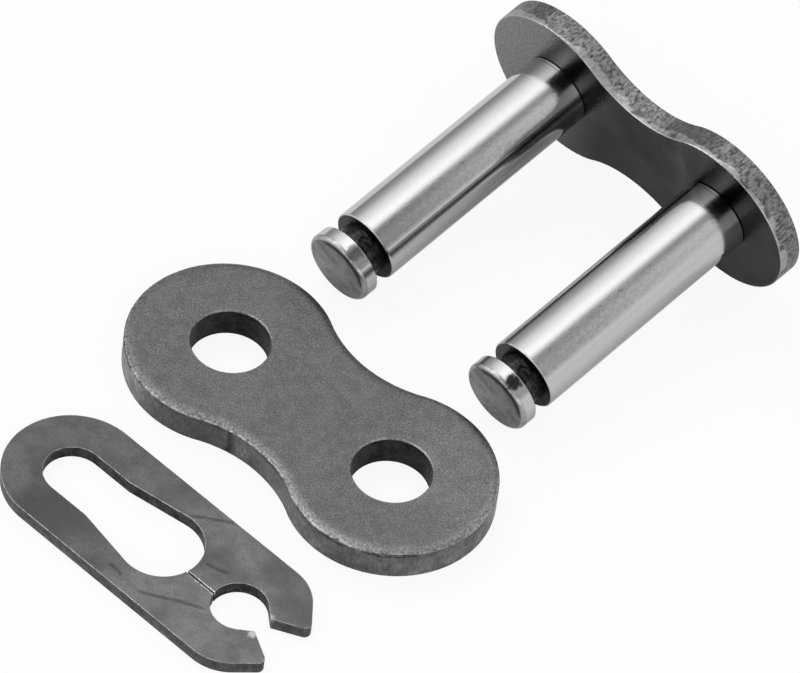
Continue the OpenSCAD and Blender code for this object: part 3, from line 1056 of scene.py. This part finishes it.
@dataclass
class SpringClip(DressedPiece):
    """The spring clip: heat treated and oiled sheet with clouds, hairlines and painted edge highlights.

    A scratch is its middle's X and Y, its half length and its turn in degrees.
    """

    scratches: tuple[tuple[float, float, float, float], ...] = (
        (1.14, 3.3, 1.5, 33.0), (3.72, -2.49, 2.2, 30.0), (3.81, 0.94, 0.8, 17.0), (0.07, -3.25, 0.6, -10.0),
    )
    scratch_width: float = 0.19
    slit_at: Pair = (2.85, -0.4)
    bright_corners: tuple[Pair, ...] = ((8.35, -0.86), (8.12, 0.64))
    wall_greys: Pair = (0.04, 0.14)
    pit_grey: float = 0.012
    painted_light_wall_greys: Pair = (0.12, 0.24)
    outer_pit_grey: float = 0.04
    bottom_shade_grey: float = 0.05
    edge_highlight_grey: float = 0.6
    slit_highlight_grey: float = 0.75
    clouds: Socket = field(init=False)
    rolled: Socket = field(init=False)
    small: Socket = field(init=False)
    speck: Socket = field(init=False)

    def __post_init__(self) -> None:
        """Places the textures that the colours and the bumps share."""
        super().__post_init__()
        paint = self.paint
        self.clouds = paint.clouds(4.0, 0.36, 0.64)
        self.rolled = paint.streaks((0.7, 5.0, 1.0), 0.3, 0.7)
        self.small = paint.clouds(0.9, 0.42, 0.64)
        self.speck = paint.grain(0.13)

    def sheet(self) -> Socket:
        """Gives the colour of the faces with their scratches."""
        paint = self.paint
        light = self.finish.light
        dark = self.finish.dark
        colour = paint.greys(self.clouds, dark, light)
        colour = paint.lay(colour, dark * 0.85, self.small, 0.35)
        colour = paint.lay(colour, light * 1.15, self.rolled, 0.12)
        colour = paint.lay(colour, dark * 0.75, self.speck, 0.45)
        tone = paint.between(paint.x, -7.0, 5.0, 0.88, 1.2)
        colour = paint.blend(1.0, colour, tone, "MULTIPLY")
        for x, y, half_length, turn in self.scratches:
            way = math.radians(turn)
            scratch = paint.effect(
                Effect.HAIRLINE, Middle=(x, y, SIZES.clip_thickness), Half_Length=half_length,
                Along=(math.cos(way), math.sin(way), 0.0), Width=self.scratch_width,
            )
            colour = paint.lay(colour, dark * 0.35, scratch["Mask"], 0.5)
        return colour

    def side(self) -> Socket:
        """Gives the colour of the walls: darker than the faces, lighter round the outside as painted light,
        and darker toward the bottom as painted shade.
        """
        paint = self.paint
        pits = paint.clouds(0.4, 0.47, 0.6)
        side = paint.lay(paint.greys(self.rolled, *self.wall_greys), self.pit_grey, pits, 0.75)
        past_seat = paint.math("MINIMUM", paint.math("ADD", paint.x, SIZES.clip_span / 2), 0.0)
        outer = paint.between(paint.length(past_seat, paint.y), 3.2, 3.7)
        outer = paint.larger(outer, paint.between(paint.x, 7.9, 8.3))
        # painted light: the outside walls are painted lighter
        painted_lighter = paint.lay(paint.greys(self.rolled, *self.painted_light_wall_greys), self.outer_pit_grey, pits, 0.4)
        side = paint.over(side, painted_lighter, outer)
        # painted shade: darker toward the bottom
        return paint.lay(side, self.bottom_shade_grey, paint.between(paint.z, 0.0, 0.5), 0.5)

    def edges(self, colour: Socket) -> Socket:
        """Lays painted highlights over a colour: on the outer edges, along the slit and at two corners."""
        paint = self.paint
        thickness = SIZES.clip_thickness
        slit_x, slit_y = self.slit_at
        upper = paint.between(paint.z, thickness * 0.5, thickness * 0.8)
        # painted highlight on the upper outer edges
        edge_highlight = paint.effect(Effect.PAINTED_EDGE_HIGHLIGHT, Radius=0.09 * MM, Low=0.03, High=0.16, Breaks=0.75)["Mask"]
        colour = paint.lay(colour, self.edge_highlight_grey, edge_highlight, upper, 0.95)
        # painted highlight along the slit
        split = paint.math("ABSOLUTE", paint.math("SUBTRACT", paint.y, slit_y))
        slit_highlight = paint.band(split, (-1.0, 0.15), 0.06, 0.3, 0.25)
        slit_highlight = paint.times(slit_highlight, paint.between(paint.x, slit_x, slit_x + 1.2))
        slit_highlight = paint.times(slit_highlight, paint.between(paint.x, slit_x + 2.4, slit_x + 2.1))
        colour = paint.lay(colour, self.slit_highlight_grey, slit_highlight, paint.raised(self.speck, 0.6, 0.3), upper)
        # painted highlights at two corners
        for corner in self.bright_corners:
            gone = paint.away((*corner, thickness))
            shiny = paint.band(gone, (-1.0, 0.42), 0.34, 0.35, 0.2)
            colour = paint.lay(colour, self.edge_highlight_grey, shiny, 0.75)
        return colour

    def look(self) -> None:
        """Joins the faces, the walls and the edges."""
        paint = self.paint
        rough = self.finish.roughness
        colour = self.edges(paint.over(self.sheet(), self.side(), self.wall()))
        paint.show(colour, paint.between(self.clouds, 0.0, 1.0, rough - 0.05, rough + 0.05))
        paint.bump([(self.rolled, 0.002), (self.small, 0.003), (self.speck, 0.0015)], soft=0.08)


@dataclass
class Studio:
    """White table, soft light and the camera of the picture.

    A lamp is its name, its place, the side of its square and its power in watts. A level of the tent
    is its angle from the top toward the right in degrees and its glow there.
    """

    elevation: float = 48.37
    azimuth: float = 37.87
    roll: float = 8.13
    distance: float = 452.5
    focal_pixels: float = 8045.0
    cover_pixel: Pair = (308.0, 428.5)
    sensor_width: float = 36.0
    floor_size: float = 3.0
    table_white: float = 0.93
    camera_glow: float = 0.9
    mirror_glow: float = 0.1
    mirror_paint: float = 0.82
    fill_light: float = 0.55
    front_boost: float = 2.6
    front_span: Pair = (0.15, -0.2)
    dark_side: Triple = (0.27, -0.53, 0.80)
    dark_angle: float = 0.5
    dark_fade: float = 0.05
    tent_radius: float = 0.45
    tent_length: float = 1.6
    tent_foot: float = 0.001
    tent_facets: int = 96
    tent_levels: tuple[Pair, ...] = (
        (-90, 0.30), (-75, 0.36), (-64, 0.50), (-55, 0.68), (-46, 0.90), (-38, 1.06), (-30, 1.18),
        (-23, 1.32), (-16, 1.42), (-9, 1.48), (-2, 1.34), (4, 0.98), (10, 0.54), (17, 0.35), (24, 0.46),
        (30, 0.61), (37, 0.74), (45, 0.72), (58, 0.66), (72, 0.76), (90, 0.80),
    )
    lamps: tuple[tuple[str, Triple, float, float], ...] = (
        ("key_lamp", (-0.35, 0.1, 0.5), 0.35, 1.4), ("fill_lamp", (0.35, -0.35, 0.4), 0.4, 0.7),
    )

    def camera(self) -> None:
        """Sets the camera so that the middle of the cover plate falls on its pixel."""
        rise = math.radians(self.elevation)
        swing = math.radians(self.azimuth)
        level = math.cos(rise)
        forward = Vector((-math.sin(swing) * level, math.cos(swing) * level, -math.sin(rise)))
        right = Vector((math.cos(swing), math.sin(swing), 0))
        up = right.cross(forward)
        lean = math.radians(self.roll)
        across = math.cos(lean) * right + math.sin(lean) * up
        upward = math.cos(lean) * up - math.sin(lean) * right
        per_mm = self.focal_pixels / self.distance
        aside = (self.cover_pixel[0] - IMAGE_WIDTH / 2) / per_mm
        below = (self.cover_pixel[1] - IMAGE_HEIGHT / 2) / per_mm
        target = Vector((0, SIZES.shift_y, 0))
        place = target - across * aside + upward * below - forward * self.distance
        data = bpy.data.cameras.new("picture_camera")
        data.sensor_width = self.sensor_width
        data.lens = self.focal_pixels * self.sensor_width / IMAGE_WIDTH
        data.clip_start = 0.01
        data.clip_end = 20.0
        data.dof.use_dof = False
        camera = bpy.data.objects.new("picture_camera", data)
        bpy.context.scene.collection.objects.link(camera)
        turn = Matrix((across, upward, -forward)).transposed().to_4x4()
        camera.matrix_world = Matrix.Translation(place * MM) @ turn
        bpy.context.scene.camera = camera
        LOG.info("camera set at %s", [round(v, 4) for v in camera.location])

    def floor(self) -> None:
        """Lays the white table, which keeps the soft shadow of the pieces."""
        bpy.ops.object.select_all(action="DESELECT")
        bpy.ops.mesh.primitive_plane_add(size=self.floor_size)
        table = bpy.context.active_object
        table.name = "table_top"
        material = bpy.data.materials.new("white_table")
        graph = Graph(empty_tree(material))
        path = graph.add("LightPath").outputs
        white = (self.table_white, self.table_white, self.table_white)
        dim = (self.mirror_paint, self.mirror_paint, self.mirror_paint)
        paint = graph.add("BsdfDiffuse", None, Color=graph.blend(path["Is Glossy Ray"], white, dim))
        glow = graph.add("Emission", None, Color=(1.0, 1.0, 1.0, 1.0), Strength=1.0)
        direct = graph.math("ADD", path["Is Camera Ray"], path["Is Transmission Ray"], True)
        mirrored = graph.times(path["Is Glossy Ray"], self.mirror_glow)
        seen = graph.math("ADD", graph.times(direct, self.camera_glow), mirrored, True)
        mix = graph.add("MixShader", None, Fac=seen)
        graph.put(mix.inputs[1], paint.outputs["BSDF"])
        graph.put(mix.inputs[2], glow.outputs["Emission"])
        graph.add("OutputMaterial", None, Surface=mix.outputs["Shader"])
        table.data.materials.append(material)

    def world(self) -> None:
        """Makes the white surroundings, dimmer for the light that they throw."""
        world = bpy.data.worlds.new("studio")
        bpy.context.scene.world = world
        graph = Graph(empty_tree(world))
        path = graph.add("LightPath").outputs
        seen = graph.math("ADD", path["Is Camera Ray"], path["Is Glossy Ray"], True)
        seen = graph.math("ADD", seen, path["Is Transmission Ray"], True)
        strength = graph.between(seen, 0.0, 1.0, self.fill_light, 1.0)
        back = graph.add("Background", None, Color=(1.0, 1.0, 1.0, 1.0), Strength=strength)
        graph.add("OutputWorld", None, Surface=back.outputs["Background"])

    def lamp(self, name: str, place: Triple, size: float, power: float) -> None:
        """Hangs one square soft lamp that looks at the middle of the set.

        Args:
            name: Name of the lamp.
            place: Where it hangs, in metres.
            size: Side of the square, in metres.
            power: Power in watts.
        """
        data = bpy.data.lights.new(name, "AREA")
        data.shape = "SQUARE"
        data.size = size
        data.energy = power
        lamp = bpy.data.objects.new(name, data)
        bpy.context.scene.collection.objects.link(lamp)
        lamp.location = place
        lamp.rotation_euler = (-Vector(place)).to_track_quat("-Z", "Y").to_euler()
        lamp.visible_glossy = False

    def tent(self) -> None:
        """Arches a light tent over the set, which only reflections see.

        Its glow changes with the angle round the Y axis, from the left over the top to the right.
        """
        bpy.ops.object.select_all(action="DESELECT")
        bpy.ops.mesh.primitive_cylinder_add(
            vertices=self.tent_facets, radius=self.tent_radius, depth=self.tent_length,
            end_fill_type="NOTHING", rotation=(math.radians(90), 0, 0),
        )
        tent = bpy.context.active_object
        tent.name = "light_tent"
        bpy.ops.object.transform_apply(location=True, rotation=True, scale=True)
        bpy.ops.object.mode_set(mode="EDIT")
        bpy.ops.mesh.select_all(action="SELECT")
        bpy.ops.mesh.bisect(plane_co=(0, 0, self.tent_foot), plane_no=(0, 0, 1), clear_inner=True)
        bpy.ops.object.mode_set(mode="OBJECT")
        material = bpy.data.materials.new("tent_cloth")
        self.tent_glow(Graph(empty_tree(material)))
        tent.data.materials.append(material)
        tent.visible_camera = False
        tent.visible_diffuse = False
        tent.visible_shadow = False

    def tent_glow(self, graph: Graph) -> None:
        """Builds the glow of the tent, stronger in front and dark toward one side.

        Args:
            graph: The graph of the tent's material.
        """
        here = graph.add("TexCoord").outputs["Object"]
        x, y, z = graph.parts(here)
        share = graph.math("ADD", graph.math("DIVIDE", graph.math("ARCTAN2", x, z), math.pi), 0.5)
        ramp = graph.add("ValToRGB", None, Fac=share)
        ramp.color_ramp.interpolation = "EASE"
        points = ramp.color_ramp.elements
        top = max(level for _, level in self.tent_levels)
        for turn, level in self.tent_levels:
            share = (turn + 90) / 180
            if share in (0, 1):
                point = points[0 if share == 0 else len(points) - 1]
            else:
                point = points.new(share)
            point.color = (level / top, level / top, level / top, 1.0)
        front = graph.between(y, *self.front_span, 1.0, self.front_boost)
        near = graph.dot(graph.vector("NORMALIZE", here), self.dark_side)
        outside = math.cos(self.dark_angle + self.dark_fade)
        within = math.cos(self.dark_angle - self.dark_fade)
        strength = graph.times(front, graph.between(near, outside, within, 1.0, 0.0), top)
        glow = graph.add("Emission", None, Color=ramp.outputs["Color"], Strength=strength)
        graph.add("OutputMaterial", None, Surface=glow.outputs["Emission"])

    def build(self) -> None:
        """Builds the whole studio."""
        self.floor()
        self.world()
        self.tent()
        for name, place, size, power in self.lamps:
            self.lamp(name, place, size, power)
        self.camera()
        bpy.context.scene.view_settings.view_transform = "Standard"


def main() -> None:
    """Dresses the five nodes and builds the studio."""
    logging.basicConfig(level=logging.INFO, format="%(name)s: %(message)s")
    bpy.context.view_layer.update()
    shop = EffectShop()
    cover_finish = SteelFinish(
        Slot.COVER_PLATE, light=0.222, dark=0.088, roughness=0.5, grain_size=0.105, grain_depth=0.006
    )
    plate_finish = SteelFinish(
        Slot.PIN_PLATE, light=0.05, dark=0.011, roughness=0.19, grain_size=0.15, grain_depth=0.006,
        tint=(0.995, 1.005, 1.0),
    )
    pin_finish = SteelFinish(Slot.PIN, light=0.65, dark=0.63, roughness=0.12, tint=(0.992, 1.0, 1.008))
    clip_finish = SteelFinish(Slot.CLIP, light=0.185, dark=0.09, roughness=0.42)
    pieces = [
        CoverPlate("cover_plate", cover_finish, SIZES.cover_frame(), shop),
        PinLinkPlate("pin_link_plate", plate_finish, SIZES.pin_link_frame(), shop),
        GroundPin("left_pin", pin_finish, SIZES.pin_link_frame(), shop, side=-1.0, painted_light=0.6, shaded=0.85),
        GroundPin("right_pin", pin_finish, SIZES.pin_link_frame(), shop, side=1.0, stain=0.95),
        SpringClip("spring_clip", clip_finish, SIZES.clip_frame(), shop),
    ]
    for piece in pieces:
        piece.dress()
    Studio().build()


if __name__ == "__main__":
    main()
